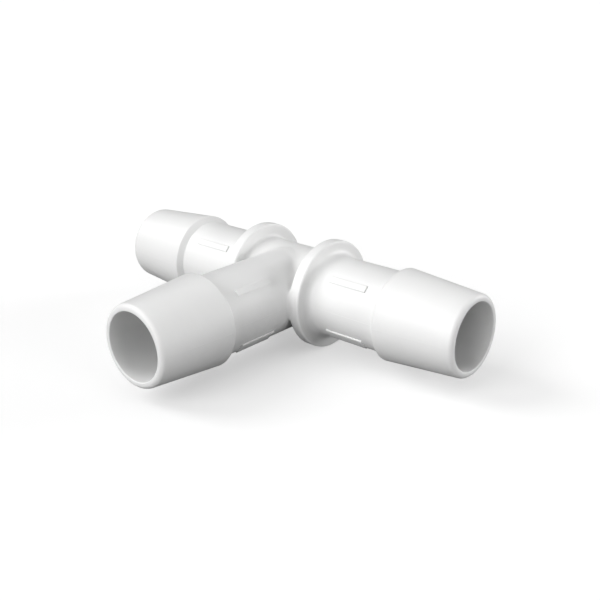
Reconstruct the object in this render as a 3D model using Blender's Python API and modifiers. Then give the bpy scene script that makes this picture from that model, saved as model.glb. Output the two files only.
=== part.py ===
"""Barbed hose tee for 19 mm bore hose, an injection moulding with three equal legs.

The run lies along X and the branch points to -Y, with all three bore axes in the plane
Z = 0. The origin is the centre of the fitting's box. The moulding is held as its four
natural sections, which meet at flat planes: the crossing hub with its two collars, and a
barbed spigot on each of its three ends.
"""

import math

import bmesh
import bpy
from mathutils import Matrix

MM = 0.001

# Hose side
HOSE_BORE = 19.0 * MM          # the shank has the hose's own bore
BARB_GRIP = 1.3 * MM           # how far the barb's crest stands above the shank
MOUTH_RELIEF = 0.2 * MM        # how far the barb's nose is below the hose's bore
LEAD_IN = 1.1 * MM             # round on the nose's outer edge
BARB_LENGTH = 19.1 * MM        # crest to mouth
SHOULDER_LENGTH = 1.2 * MM     # shank to crest
CREST_ROUND = 0.8 * MM         # round where the shoulder turns into the long cone

# Body
LEG = 50.5 * MM                # centre to mouth, the same on all three legs
WALL = 1.75 * MM               # bore to shank
COLLAR_HEIGHT = 3.4 * MM       # how far the collar's rim stands above the shank
COLLAR_WIDTH = 2.8 * MM
COLLAR_BITE = 0.2 * MM         # how far the branch's sides run into the collars
COLLAR_ROUND = 0.45 * MM       # round on both edges of the collar's rim
COLLAR_FILLET = 1.6 * MM       # collar's face to shank
HUB_FILLET = 0.9 * MM          # collar's back to hub
HUB_WALL_EXTRA = 0.1 * MM      # the hub's run is this much thicker than the shank
SECTION_GAP = 0.3 * MM         # between neighbouring sections

STEPS = 48
ARC_POINTS = 4
MERGE = 1e-5
CUTTER_OVERRUN = 2.0 * MM
SHADING_WEIGHT = 100           # large faces keep their own shading

SHANK_RADIUS = HOSE_BORE / 2
BORE_RADIUS = SHANK_RADIUS - WALL
CREST_RADIUS = SHANK_RADIUS + BARB_GRIP
MOUTH_RADIUS = SHANK_RADIUS - MOUTH_RELIEF
HUB_RADIUS = SHANK_RADIUS + HUB_WALL_EXTRA
COLLAR_RADIUS = SHANK_RADIUS + COLLAR_HEIGHT
COLLAR_BACK = SHANK_RADIUS - COLLAR_BITE        # the collars flank the branch
COLLAR_FACE = COLLAR_BACK + COLLAR_WIDTH
CREST_PLACE = LEG - BARB_LENGTH
SECTION_PLACE = COLLAR_FACE + COLLAR_FILLET     # end of the hub, on every leg
SPIGOT_START = SECTION_PLACE + SECTION_GAP
RUN_SETBACK = (LEG - COLLAR_RADIUS) / 2         # the run's axis, behind the box's centre


def arc(centre_r, centre_s, radius, start, end, points=ARC_POINTS):
    """Points (radius, station) of an arc between two angles in degrees, ends included."""
    angles = [math.radians(start + (end - start) * i / points) for i in range(points + 1)]
    return [(centre_r + radius * math.cos(a), centre_s + radius * math.sin(a)) for a in angles]


def rounded(before, corner, after, radius):
    """The points of an arc that rounds one corner of an outline."""
    to_before = math.atan2(before[1] - corner[1], before[0] - corner[0])
    to_after = math.atan2(after[1] - corner[1], after[0] - corner[0])
    opening = math.remainder(to_after - to_before, math.tau)
    middle = to_before + opening / 2
    reach = radius / abs(math.sin(opening / 2))
    centre = (corner[0] + reach * math.cos(middle), corner[1] + reach * math.sin(middle))
    swing = math.copysign(math.pi - abs(opening), -opening)
    first = middle + math.pi - swing / 2
    return arc(*centre, radius, math.degrees(first), math.degrees(first + swing))


def turned(name, outline, closed):
    """A solid of revolution about its own Z from (radius, station) points, outer side first."""
    mesh = bpy.data.meshes.new(name)
    shape = bmesh.new()
    corners = [shape.verts.new((r, 0, s)) for r, s in outline]
    for first, second in zip(corners, corners[1:] + corners[:1] if closed else corners[1:]):
        shape.edges.new((first, second))
    shape.to_mesh(mesh)
    shape.free()
    piece = bpy.data.objects.new(name, mesh)
    screw = piece.modifiers.new("Turn", "SCREW")
    screw.axis = "Z"
    screw.steps = screw.render_steps = STEPS
    screw.use_merge_vertices = True
    screw.merge_threshold = MERGE
    screw.use_smooth_shade = True
    return piece


def cut_or_join(piece, other, operation):
    boolean = piece.modifiers.new(f"{operation.title()} {other.name}", "BOOLEAN")
    boolean.operation = operation
    boolean.object = other
    boolean.solver = "EXACT"


def helper(name, mesh, collection):
    """An object that only cuts or joins others."""
    piece = bpy.data.objects.new(name, mesh)
    collection.objects.link(piece)
    piece.hide_render = True
    piece.display_type = "WIRE"
    return piece


def moulded_nylon(name):
    material = bpy.data.materials.new(name)
    material.use_nodes = True
    surface = material.node_tree.nodes["Principled BSDF"]
    surface.inputs["Base Color"].default_value = (0.86, 0.86, 0.85, 1)
    surface.inputs["Roughness"].default_value = 0.4
    surface.inputs["Metallic"].default_value = 0
    return material


def rod_mesh(name, radius, start, end, turn):
    """A cylinder along its own Z, turned by a share of one step so that facets interleave."""
    mesh = bpy.data.meshes.new(name)
    shape = bmesh.new()
    bmesh.ops.create_cone(
        shape, cap_ends=True, segments=STEPS, radius1=radius, radius2=radius, depth=end - start
    )
    bmesh.ops.rotate(shape, verts=shape.verts, matrix=Matrix.Rotation(turn * math.tau / STEPS, 3, "Z"))
    bmesh.ops.translate(shape, verts=shape.verts, vec=(0, 0, (start + end) / 2))
    shape.to_mesh(mesh)
    shape.free()
    return mesh


def lay_along(piece, heading, crossing):
    """Lays a piece's own Z level from the bores' crossing, at a heading in degrees from +X."""
    piece.parent = crossing
    piece.rotation_euler = (0, math.radians(90), math.radians(heading))


def spigot_outline():
    nose = (MOUTH_RADIUS, LEG)
    crest = (CREST_RADIUS, CREST_PLACE)
    shank_end = (SHANK_RADIUS, CREST_PLACE - SHOULDER_LENGTH)
    bore_at_mouth = (BORE_RADIUS, LEG)
    return [
        bore_at_mouth,
        *rounded(bore_at_mouth, nose, crest, LEAD_IN),
        *rounded(nose, crest, shank_end, CREST_ROUND),
        shank_end,
        (SHANK_RADIUS, SPIGOT_START),
        (BORE_RADIUS, SPIGOT_START),
    ]


def hub_outline():
    """Half of the hub's run with one collar, from its end face in to the middle."""
    rim_front = (COLLAR_RADIUS, COLLAR_FACE)
    rim_back = (COLLAR_RADIUS, COLLAR_BACK)
    fillet_place = COLLAR_FACE + COLLAR_FILLET
    back_place = COLLAR_BACK - HUB_FILLET
    return [
        (SHANK_RADIUS, SECTION_PLACE),
        *arc(SHANK_RADIUS + COLLAR_FILLET, fillet_place, COLLAR_FILLET, 180, 270)[1:],
        *rounded((SHANK_RADIUS, COLLAR_FACE), rim_front, rim_back, COLLAR_ROUND),
        *rounded(rim_front, rim_back, (HUB_RADIUS, COLLAR_BACK), COLLAR_ROUND),
        *arc(HUB_RADIUS + HUB_FILLET, back_place, HUB_FILLET, 90, 180),
    ]


def make_spigot(name, heading, crossing, parts):
    spigot = turned(name, spigot_outline(), closed=True)
    parts.objects.link(spigot)
    lay_along(spigot, heading, crossing)
    return spigot


def make_hub(name, crossing, parts, helpers):
    half = hub_outline()
    outline = [
        (0, SECTION_PLACE),
        *half,
        *[(r, -s) for r, s in reversed(half)],
        (0, -SECTION_PLACE),
    ]
    hub = turned(name, outline, closed=False)
    parts.objects.link(hub)
    lay_along(hub, 0, crossing)
    beyond = SECTION_PLACE + CUTTER_OVERRUN
    for label, radius, start, end, heading, turn, operation in (
        ("branch_stub", SHANK_RADIUS, 0, SECTION_PLACE, -90, 0.5, "UNION"),
        ("run_bore", BORE_RADIUS, -beyond, beyond, 0, 0, "DIFFERENCE"),
        ("branch_bore", BORE_RADIUS, 0, beyond, -90, 0.5, "DIFFERENCE"),
    ):
        rod = helper(label, rod_mesh(label, radius, start, end, turn), helpers)
        lay_along(rod, heading, crossing)
        cut_or_join(hub, rod, operation)
    return hub


def main():
    for leftover in list(bpy.data.objects):
        bpy.data.objects.remove(leftover, do_unlink=True)
    parts = bpy.data.collections.new("tee_fitting")
    helpers = bpy.data.collections.new("cutters")
    for collection in (parts, helpers):
        bpy.context.scene.collection.children.link(collection)
    crossing = bpy.data.objects.new("bore_crossing", None)
    crossing.location = (0, RUN_SETBACK, 0)
    parts.objects.link(crossing)
    pieces = [make_hub("hub", crossing, parts, helpers)]
    for side, heading in (("right", 0), ("left", 180), ("branch", -90)):
        pieces.append(make_spigot(f"{side}_spigot", heading, crossing, parts))
    for piece in pieces:
        piece.data.materials.append(moulded_nylon(f"{piece.name}_nylon"))
        shading = piece.modifiers.new("Even shading", "WEIGHTED_NORMAL")
        shading.weight = SHADING_WEIGHT


main()
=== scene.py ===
"""Looks of the barbed hose tee: satin white moulded sections on a plain pale floor."""

import math

import bmesh
import bpy
import numpy as np
from mathutils import Matrix, Vector


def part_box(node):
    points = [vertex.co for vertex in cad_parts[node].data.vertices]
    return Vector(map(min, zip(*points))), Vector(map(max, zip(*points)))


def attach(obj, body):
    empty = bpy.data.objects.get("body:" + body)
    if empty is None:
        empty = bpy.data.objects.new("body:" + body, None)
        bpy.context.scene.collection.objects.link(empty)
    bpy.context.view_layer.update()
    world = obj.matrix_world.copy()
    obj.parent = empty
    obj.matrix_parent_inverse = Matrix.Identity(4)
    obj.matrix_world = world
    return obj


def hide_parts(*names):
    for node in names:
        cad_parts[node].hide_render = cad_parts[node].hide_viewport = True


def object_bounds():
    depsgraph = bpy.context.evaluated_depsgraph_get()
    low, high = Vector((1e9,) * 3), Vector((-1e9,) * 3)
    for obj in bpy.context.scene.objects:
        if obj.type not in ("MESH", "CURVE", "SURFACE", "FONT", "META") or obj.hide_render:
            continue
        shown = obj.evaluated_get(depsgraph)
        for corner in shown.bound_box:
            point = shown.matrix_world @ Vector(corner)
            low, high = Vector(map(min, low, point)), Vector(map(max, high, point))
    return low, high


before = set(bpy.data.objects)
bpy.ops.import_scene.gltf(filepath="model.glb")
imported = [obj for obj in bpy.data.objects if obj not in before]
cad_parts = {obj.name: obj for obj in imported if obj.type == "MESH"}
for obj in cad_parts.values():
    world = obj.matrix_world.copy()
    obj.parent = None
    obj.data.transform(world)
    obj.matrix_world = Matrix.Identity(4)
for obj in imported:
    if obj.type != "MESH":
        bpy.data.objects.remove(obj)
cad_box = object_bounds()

MM = 0.001
HUB_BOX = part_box("hub")
RUN_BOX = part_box("right_spigot")

# Places and sizes that the frame gives
LEG = RUN_BOX[1].x                              # crossing to mouth
CROSSING = Vector((0, (RUN_BOX[0].y + RUN_BOX[1].y) / 2, 0))
CREST_RADIUS = (RUN_BOX[1].y - RUN_BOX[0].y) / 2
COLLAR_RADIUS = HUB_BOX[1].z
SECTION = (HUB_BOX[1].x + RUN_BOX[0].x) / 2     # where hub and spigot meet
FLOOR = cad_box[0].z

# Spigots
BARB_GRIP = 1.3 * MM                            # how far the crest stands above the shank
MOUTH_RELIEF = 0.2 * MM                         # how far the barb's nose is below the shank
BARB_LENGTH = 19.1 * MM                         # crest to mouth
SHOULDER_LENGTH = 1.2 * MM                      # shank to crest
CREST_ROUND = 0.5 * MM
LEAD_IN = 1.1 * MM                              # the mouth's outer edge
LIP_ROUND = 0.2 * MM                            # the mouth's inner edge
SHOULDER_FILLET = 0.2 * MM
WALL = 1.75 * MM
SHANK_RADIUS = CREST_RADIUS - BARB_GRIP
BORE_RADIUS = SHANK_RADIUS - WALL

# Hub and collars
COLLAR_WIDTH = 2.8 * MM
COLLAR_BITE = 0.2 * MM                          # how far the branch's sides run into the collars
COLLAR_ROUND = 0.45 * MM
COLLAR_FILLET = 1.6 * MM                        # collar's face to shank
HUB_WALL_EXTRA = 0.1 * MM
HUB_FILLET = 0.9 * MM                           # collar's back to hub
COLLAR_BACK = SHANK_RADIUS - COLLAR_BITE
COLLAR_FACE = COLLAR_BACK + COLLAR_WIDTH
HUB_RADIUS = SHANK_RADIUS + HUB_WALL_EXTRA

# Round between the branch and the run with its collars
BRANCH_BLEND = 1.0 * MM
BLEND_FADE = 5.0 * MM                           # it grows over this much in front of the run's axis
BLEND_STEPS = 5
BLEND_PROBE = 0.005 * MM
LEAST_SLOPE = 0.25                              # squared, so that no step overshoots

# Blank raised bars on each shank's flanks, a narrow one above and a wide one below
BAR_START = 16.4 * MM
BAR_LENGTH = 10.3 * MM
BAR_EDGE = 0.14 * MM
FLANK_BARS = (                                  # degrees from the top, width, rise
    (45.0, 2.3 * MM, 0.36 * MM),
    (133.0, 4.0 * MM, 0.22 * MM),
)

# Gate scar at the hub's back: a dish with a broken-off nub
GATE_DISH = 1.7 * MM
GATE_DISH_DEPTH = 0.3 * MM
GATE_NUB = 0.7 * MM
GATE_NUB_RISE = 0.1 * MM

# Nylon
SEAM_WIDTH = 0.16 * MM                          # the mould's parting line, at mid height
DEEP_WHITE = (0.78, 0.782, 0.78, 1)
PALE_WHITE = (0.825, 0.825, 0.82, 1)

# Studio
FLOOR_REACH = 6.0
FLOOR_SEEN = 0.62                               # the floor's own shade
FLOOR_BOUNCE = 0.15                             # what it gives back to the fitting
FLOOR_LIFT = 0.44                               # brings the lit floor up to white
AIR_STRENGTH = 0.47
SUN_SPREAD = 32                                 # degrees
SUNS = {                                        # azimuth from the front, elevation, strength
    "front_key": (-12, 28, 1.3),
    "front_low": (6, 3, 1.5),
    "left_fill": (-60, 40, 1.35),
    "right_rim": (90, 8, 1.1),
    "back_rim": (150, 8, 1.95),
}

# Camera
CAMERA_AZIMUTH = 41.66
CAMERA_ELEVATION = 20.33
CAMERA_ROLL = -0.23
CAMERA_DISTANCE = 221.7 * MM
CAMERA_LENS = 54.36
CAMERA_SENSOR = 36.0
CAMERA_NEAR = 0.01
AIM_RIGHT = 1.11 * MM                           # the camera aims this far right of the crossing
AIM_DROP = 4.21 * MM                            # and this far below it

# Fineness
AROUND = 160
DISC_AROUND = 40
ARC_STEP = 11                                   # degrees
ARC_LEAST = 3
BAR_EDGE_STEPS = 3
FINE_PITCH = 0.4 * MM
COARSE_PITCH = 2.5 * MM
ROOT_DEPTH = 0.8 * MM                           # joined details reach this far into the wall
OVERRUN = 2.0 * MM                              # cutters reach this far past the wall
MERGE = 1e-7
TINY = 1e-18                                    # in place of a side's zero length
SHARP = 35                                      # edges over this many degrees stay sharp


# Outlines are (radius, station) points: radius from an arm's axis, station from the crossing.

def corner_arc(before, corner, after, radius):
    """Points of an arc that rounds one corner of an outline."""
    to_before = math.atan2(before[1] - corner[1], before[0] - corner[0])
    to_after = math.atan2(after[1] - corner[1], after[0] - corner[0])
    opening = math.remainder(to_after - to_before, math.tau)
    middle = to_before + opening / 2
    reach = radius / abs(math.sin(opening / 2))
    centre = (corner[0] + reach * math.cos(middle), corner[1] + reach * math.sin(middle))
    swing = math.copysign(math.pi - abs(opening), -opening)
    first = middle + math.pi - swing / 2
    steps = max(ARC_LEAST, round(abs(swing) / math.radians(ARC_STEP)))
    angles = [first + swing * i / steps for i in range(steps + 1)]
    return [(centre[0] + radius * math.cos(a), centre[1] + radius * math.sin(a)) for a in angles]


def rounded(corners):
    """An outline from (radius, station, round) corners, with no round at its ends."""
    points = []
    for i, (r, s, radius) in enumerate(corners):
        if radius:
            points += corner_arc(corners[i - 1][:2], (r, s), corners[i + 1][:2], radius)
        else:
            points.append((r, s))
    return points


def pitched(points, pitch, closed=False):
    """The outline with its long stretches divided, so that no step is over the pitch."""
    ends = points[1:] + points[:1] if closed else points[1:]
    stepped = []
    for a, b in zip(points, ends):
        count = max(1, math.ceil(math.dist(a, b) / pitch))
        for i in range(count):
            stepped.append((a[0] + (b[0] - a[0]) * i / count, a[1] + (b[1] - a[1]) * i / count))
    return stepped if closed else stepped + [points[-1]]


def spigot_outline():
    crest_place = LEG - BARB_LENGTH
    return rounded([
        (BORE_RADIUS, SECTION, 0),
        (BORE_RADIUS, LEG, LIP_ROUND),
        (SHANK_RADIUS - MOUTH_RELIEF, LEG, LEAD_IN),
        (CREST_RADIUS, crest_place, CREST_ROUND),
        (SHANK_RADIUS, crest_place - SHOULDER_LENGTH, SHOULDER_FILLET),
        (SHANK_RADIUS, SECTION, 0),
    ])


def run_outline():
    """Outer side of the hub's run with both collars, filled to its axis."""
    half = rounded([
        (SHANK_RADIUS, SECTION, 0),
        (SHANK_RADIUS, COLLAR_FACE, COLLAR_FILLET),
        (COLLAR_RADIUS, COLLAR_FACE, COLLAR_ROUND),
        (COLLAR_RADIUS, COLLAR_BACK, COLLAR_ROUND),
        (HUB_RADIUS, COLLAR_BACK, HUB_FILLET),
        (HUB_RADIUS, 0, 0),
    ])
    return [(0, SECTION), *half, *[(r, -s) for r, s in reversed(half[:-1])], (0, -SECTION)]


def rod_outline(radius, start, end):
    return [(0, end), (radius, end), (radius, start), (0, start)]


# Shapes on an arm's own axis, which is Z

def spun(points, closed=False):
    """A bmesh turned about Z from an outline."""
    shape = bmesh.new()
    corners = [shape.verts.new((r, 0, s)) for r, s in points]
    following = corners[1:] + corners[:1] if closed else corners[1:]
    edges = [shape.edges.new(pair) for pair in zip(corners, following)]
    bmesh.ops.spin(
        shape, geom=corners + edges, cent=(0, 0, 0), axis=(0, 0, 1), dvec=(0, 0, 0),
        angle=math.tau, steps=AROUND, use_merge=True, use_duplicate=False,
    )
    bmesh.ops.remove_doubles(shape, verts=shape.verts, dist=MERGE)
    bmesh.ops.recalc_face_normals(shape, faces=shape.faces)
    return shape


def disc(radius, low, high):
    """A short cylinder about Z."""
    shape = bmesh.new()
    bmesh.ops.create_cone(
        shape, cap_ends=True, segments=DISC_AROUND, radius1=radius, radius2=radius,
        depth=high - low,
    )
    bmesh.ops.translate(shape, verts=shape.verts, vec=(0, 0, (low + high) / 2))
    return shape


def flank_bar(from_top, width, rise):
    """A raised bar along a shank, at an angle from its top.

    Its long sides slope by 45 degrees, so that on a flank one of them is level and the other
    upright, and the mould can open. The width is the bar's at its foot.
    """
    shape = bmesh.new()
    bmesh.ops.create_cube(shape, size=1)
    bmesh.ops.scale(shape, verts=shape.verts, vec=(ROOT_DEPTH + rise, width, BAR_LENGTH))
    bmesh.ops.bevel(
        shape, geom=shape.edges, offset=BAR_EDGE, segments=BAR_EDGE_STEPS, profile=0.5,
        affect="EDGES", material=-1,
    )
    middle = SHANK_RADIUS + (rise - ROOT_DEPTH) / 2
    bmesh.ops.translate(shape, verts=shape.verts, vec=(middle, 0, BAR_START + BAR_LENGTH / 2))
    foot_depth = width ** 2 / (8 * SHANK_RADIUS)    # how far the shank drops from middle to foot
    for corner in shape.verts:
        corner.co.y -= math.copysign(corner.co.x - SHANK_RADIUS + foot_depth, corner.co.y)
    turn = Matrix.Rotation(math.radians(180 + from_top), 4, "Z")
    bmesh.ops.transform(shape, matrix=turn, verts=shape.verts)
    return shape


# Objects

def along(heading):
    """Places an arm's own Z at a heading from +X, its own +X facing down."""
    turn = Matrix.Rotation(math.radians(heading), 4, "Z")
    return Matrix.Translation(CROSSING) @ turn @ Matrix.Rotation(math.radians(90), 4, "Y")


def placed(shape, name, heading):
    """The bmesh as an object on an arm."""
    bmesh.ops.transform(shape, matrix=along(heading), verts=shape.verts)
    mesh = bpy.data.meshes.new(name)
    shape.to_mesh(mesh)
    shape.free()
    piece = bpy.data.objects.new(name, mesh)
    bpy.context.scene.collection.objects.link(piece)
    return piece


def combine(piece, others, operation):
    """Joins the others to a piece or cuts them from it, and removes them."""
    for other in others:
        boolean = piece.modifiers.new(other.name, "BOOLEAN")
        boolean.operation = operation
        boolean.object = other
        boolean.solver = "EXACT"
    graph = bpy.context.evaluated_depsgraph_get()
    result = bpy.data.meshes.new_from_object(piece.evaluated_get(graph))
    piece.modifiers.clear()
    piece.data = result
    for other in others:
        bpy.data.objects.remove(other)


def clean(piece):
    """Merges what the joins left double and splits faces of over four corners."""
    shape = bmesh.new()
    shape.from_mesh(piece.data)
    bmesh.ops.remove_doubles(shape, verts=shape.verts, dist=MERGE)
    bmesh.ops.dissolve_degenerate(shape, edges=shape.edges, dist=MERGE)
    many = [f for f in shape.faces if len(f.verts) > 4]
    bmesh.ops.triangulate(shape, faces=many)
    shape.to_mesh(piece.data)
    shape.free()


# The round where the branch leaves the run and the collars

def outside(points, outline):
    """Signed distance of (radius, station) points from a closed outline, positive outside."""
    corners = np.array(outline)
    nearest = np.full(len(points), np.inf)
    sign = np.ones(len(points))
    for a, b in zip(corners, np.roll(corners, -1, axis=0)):
        side, reach = b - a, points - a
        share = np.clip(reach @ side / max(side @ side, TINY), 0, 1)
        nearest = np.minimum(nearest, np.linalg.norm(reach - share[:, None] * side, axis=1))
        above_a, below_b = points[:, 1] >= a[1], points[:, 1] < b[1]
        left = side[0] * reach[:, 1] > side[1] * reach[:, 0]
        crossed = (above_a & below_b & left) | (~above_a & ~below_b & ~left)
        sign[crossed] *= -1
    return sign * nearest


def both_distances(points, run, branch):
    """Distances of points in the row frame from the run's and the branch's surfaces."""
    x, y, z = (points - np.array(CROSSING)).T
    from_run = outside(np.stack([np.hypot(y, z), x], axis=1), run)
    from_branch = outside(np.stack([np.hypot(x, z), -y], axis=1), branch)
    return from_run, from_branch


def blended_distance(points, run, branch):
    """Distance from run and branch taken as one, with a round in the corner between them."""
    from_run, from_branch = both_distances(points, run, branch)
    under_run = np.maximum(BRANCH_BLEND - from_run, 0)
    under_branch = np.maximum(BRANCH_BLEND - from_branch, 0)
    nearest = np.minimum(from_run, from_branch)
    return np.maximum(BRANCH_BLEND, nearest) - np.hypot(under_run, under_branch)


def blended_slope(points, run, branch):
    """How that distance changes along X, Y and Z."""
    slopes = []
    for axis in np.eye(3) * BLEND_PROBE:
        ahead = blended_distance(points + axis, run, branch)
        behind = blended_distance(points - axis, run, branch)
        slopes.append((ahead - behind) / (2 * BLEND_PROBE))
    return np.stack(slopes, axis=1)


def blend_branch(piece):
    """Moves the points near the branch's root onto the round, which fades out at the top."""
    run = run_outline()
    branch = rod_outline(SHANK_RADIUS, -SECTION, LEG)
    points = np.empty(len(piece.data.vertices) * 3)
    piece.data.vertices.foreach_get("co", points)
    points = points.reshape(-1, 3)
    from_run, from_branch = both_distances(points, run, branch)
    near = (np.maximum(from_run, from_branch) < BRANCH_BLEND) & (points[:, 1] < CROSSING.y)
    moved = points[near]
    fade = np.clip((CROSSING.y - moved[:, 1]) / BLEND_FADE, 0, 1)
    fade = (fade * fade * (3 - 2 * fade))[:, None]
    for _ in range(BLEND_STEPS):
        slope = blended_slope(moved, run, branch)
        gap = blended_distance(moved, run, branch)
        moved -= (gap / np.maximum((slope ** 2).sum(axis=1), LEAST_SLOPE))[:, None] * slope
    points[near] += fade * (moved - points[near])
    piece.data.vertices.foreach_set("co", points.ravel())


# Sections of the moulding

def hub_object():
    hub = placed(spun(pitched(run_outline(), FINE_PITCH)), "hub_moulding", 0)
    stub = rod_outline(SHANK_RADIUS, 0, SECTION)
    combine(hub, [placed(spun(pitched(stub, FINE_PITCH)), "branch_stub", -90)], "UNION")
    clean(hub)
    blend_branch(hub)
    bores = []
    for heading, start in ((0, -SECTION - OVERRUN), (-90, 0)):
        bore = rod_outline(BORE_RADIUS, start, SECTION + OVERRUN)
        bores.append(placed(spun(pitched(bore, COARSE_PITCH)), "bore", heading))
    combine(hub, bores, "DIFFERENCE")
    dish_floor = HUB_RADIUS - GATE_DISH_DEPTH
    dish = disc(GATE_DISH, dish_floor, HUB_RADIUS + OVERRUN)
    combine(hub, [placed(dish, "gate_dish", 90)], "DIFFERENCE")
    nub = disc(GATE_NUB, dish_floor - ROOT_DEPTH, dish_floor + GATE_NUB_RISE)
    combine(hub, [placed(nub, "gate_nub", 90)], "UNION")
    clean(hub)
    return hub


def spigot_object(name, heading):
    outline = pitched(spigot_outline(), COARSE_PITCH, closed=True)
    spigot = placed(spun(outline, closed=True), name, heading)
    bars = []
    for from_top, width, rise in FLANK_BARS:
        for turn in (-from_top, from_top):
            bars.append(placed(flank_bar(turn, width, rise), "bar", heading))
    combine(spigot, bars, "UNION")
    clean(spigot)
    return spigot


# Material

class Signal:
    """A socket of a node tree. Arithmetic on it adds Math nodes."""

    def __init__(self, tree, socket=None):
        self.tree = tree
        self.socket = socket

    def node(self, kind, settings=None, inputs=None, output=0):
        """A new node: its settings first, then the values or links of its sockets."""
        made = self.tree.nodes.new(kind)
        for name, value in (settings or {}).items():
            setattr(made, name, value)
        for name, value in (inputs or {}).items():
            if isinstance(value, Signal):
                self.tree.links.new(value.socket, made.inputs[name])
            else:
                made.inputs[name].default_value = value
        return Signal(self.tree, made.outputs[output])

    def maths(self, operation, first, second=0.0):
        return self.node("ShaderNodeMath", {"operation": operation}, {0: first, 1: second})

    def __add__(self, other):
        return self.maths("ADD", self, other)

    def __rsub__(self, other):
        return self.maths("SUBTRACT", other, self)

    def __mul__(self, other):
        return self.maths("MULTIPLY", self, other)

    __radd__ = __add__
    __rmul__ = __mul__


def satin_nylon():
    """White nylon with faint clouds of tone and gloss, flow, grain and a parting line."""
    material = bpy.data.materials.new("satin_white_nylon")
    material.use_nodes = True
    tree = material.node_tree
    surface = tree.nodes["Principled BSDF"]
    start = Signal(tree)
    place = start.node("ShaderNodeTexCoord", output="Object")

    def noise(scale, detail, roughness=0.5):
        return start.node(
            "ShaderNodeTexNoise", {"noise_dimensions": "3D"},
            {"Vector": place, "Scale": scale, "Detail": detail, "Roughness": roughness},
        )

    clouds = noise(scale=90.0, detail=3.0)
    flow = noise(scale=420.0, detail=2.0)
    grain = noise(scale=5200.0, detail=3.0, roughness=0.6)
    height = start.node("ShaderNodeSeparateXYZ", None, {"Vector": place}, output="Z")
    seam = start.node(
        "ShaderNodeMapRange", {"interpolation_type": "SMOOTHSTEP"},
        {
            "Value": start.maths("ABSOLUTE", height),
            "From Min": 0.0, "From Max": SEAM_WIDTH / 2, "To Min": 1.0, "To Max": 0.0,
        },
    )
    tone = start.node(
        "ShaderNodeMix", {"data_type": "RGBA"},
        {"Factor": clouds, "A": DEEP_WHITE, "B": PALE_WHITE}, output=2,
    )
    rough = 0.34 + clouds * 0.08 + flow * 0.04 + grain * 0.06
    texture = grain * 0.02 + flow * 0.05 + seam * 0.06
    bump = start.node(
        "ShaderNodeBump", None, {"Strength": 0.6, "Distance": 1.0 * MM, "Height": texture}
    )
    for name, signal in (("Base Color", tone), ("Roughness", rough), ("Normal", bump)):
        tree.links.new(signal.socket, surface.inputs[name])
    surface.inputs["IOR"].default_value = 1.5
    surface.inputs["Subsurface Weight"].default_value = 0.1
    surface.inputs["Subsurface Radius"].default_value = (1.0, 1.0, 1.0)
    surface.inputs["Subsurface Scale"].default_value = 1.0 * MM
    return material


def dress(piece, node, material):
    """Gives a section its material and shading, and sets it in its node's place."""
    piece.data.materials.clear()
    piece.data.materials.append(material)
    piece.data.shade_smooth()
    piece.data.set_sharp_from_angle(angle=math.radians(SHARP))
    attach(piece, "root")
    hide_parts(node)


# Studio

def pale_floor():
    """A floor that the camera sees as white and that gives the fitting little light back."""
    mesh = bpy.data.meshes.new("floor")
    shape = bmesh.new()
    bmesh.ops.create_grid(shape, x_segments=1, y_segments=1, size=FLOOR_REACH)
    shape.to_mesh(mesh)
    shape.free()
    floor = bpy.data.objects.new("floor", mesh)
    floor.location.z = FLOOR
    bpy.context.scene.collection.objects.link(floor)
    material = bpy.data.materials.new("pale_floor")
    material.use_nodes = True
    tree = material.node_tree
    seen = Signal(tree).node("ShaderNodeLightPath", output="Is Camera Ray")
    shade = seen * (FLOOR_SEEN - FLOOR_BOUNCE) + FLOOR_BOUNCE
    surface = tree.nodes["Principled BSDF"]
    tree.links.new(shade.socket, surface.inputs["Base Color"])
    surface.inputs["Roughness"].default_value = 1.0
    surface.inputs["Specular IOR Level"].default_value = 0.0
    surface.inputs["Emission Color"].default_value = (1, 1, 1, 1)
    tree.links.new((seen * FLOOR_LIFT).socket, surface.inputs["Emission Strength"])
    mesh.materials.append(material)


def towards(azimuth, elevation):
    """A direction from degrees of azimuth, 0 at the front and 90 at +X, and elevation."""
    a, e = math.radians(azimuth), math.radians(elevation)
    return Vector((math.sin(a) * math.cos(e), -math.cos(a) * math.cos(e), math.sin(e)))


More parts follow.
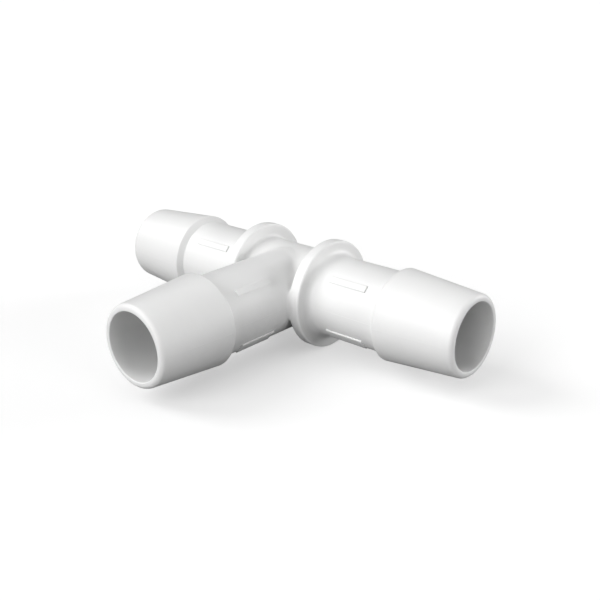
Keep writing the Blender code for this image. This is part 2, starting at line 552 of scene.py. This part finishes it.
def soft_sun(name, azimuth, elevation, strength):
    light = bpy.data.lights.new(name, "SUN")
    light.energy = strength
    light.angle = math.radians(SUN_SPREAD)
    sun = bpy.data.objects.new(name, light)
    sun.rotation_euler = towards(azimuth, elevation).to_track_quat("Z", "Y").to_euler()
    bpy.context.scene.collection.objects.link(sun)


def studio_air():
    """Soft light from overhead that fades towards the horizon, seen by the camera as white."""
    world = bpy.data.worlds.new("studio_air")
    world.use_nodes = True
    tree = world.node_tree
    start = Signal(tree)
    seen = start.node("ShaderNodeLightPath", output="Is Camera Ray")
    direction = start.node("ShaderNodeTexCoord", output="Generated")
    height = start.node("ShaderNodeSeparateXYZ", None, {"Vector": direction}, output="Z")
    overhead = start.maths("MAXIMUM", height) * AIR_STRENGTH
    backdrop = tree.nodes["Background"]
    backdrop.inputs["Color"].default_value = (1, 1, 1, 1)
    tree.links.new((seen * (1.0 - overhead) + overhead).socket, backdrop.inputs["Strength"])
    bpy.context.scene.world = world


def studio_camera():
    back = towards(CAMERA_AZIMUTH, CAMERA_ELEVATION)
    side = towards(CAMERA_AZIMUTH + 90, 0)
    up = back.cross(side)
    lens = bpy.data.cameras.new("studio_camera")
    lens.lens = CAMERA_LENS
    lens.sensor_width = CAMERA_SENSOR
    lens.clip_start = CAMERA_NEAR
    camera = bpy.data.objects.new("studio_camera", lens)
    stand = CROSSING + back * CAMERA_DISTANCE
    aim = CROSSING + side * AIM_RIGHT - up * AIM_DROP
    look = (aim - stand).to_track_quat("-Z", "Y").to_matrix().to_4x4()
    roll = Matrix.Rotation(math.radians(CAMERA_ROLL), 4, "Z")
    camera.matrix_world = Matrix.Translation(stand) @ look @ roll
    bpy.context.scene.collection.objects.link(camera)
    bpy.context.scene.camera = camera


def main():
    nylon = satin_nylon()
    dress(hub_object(), "hub", nylon)
    for side, heading in (("right", 0), ("left", 180), ("branch", -90)):
        dress(spigot_object(f"{side}_spigot_moulding", heading), f"{side}_spigot", nylon)
    pale_floor()
    studio_camera()
    for name, (azimuth, elevation, strength) in SUNS.items():
        soft_sun(name, azimuth, elevation, strength)
    studio_air()
    bpy.context.scene.view_settings.view_transform = "Standard"


main()
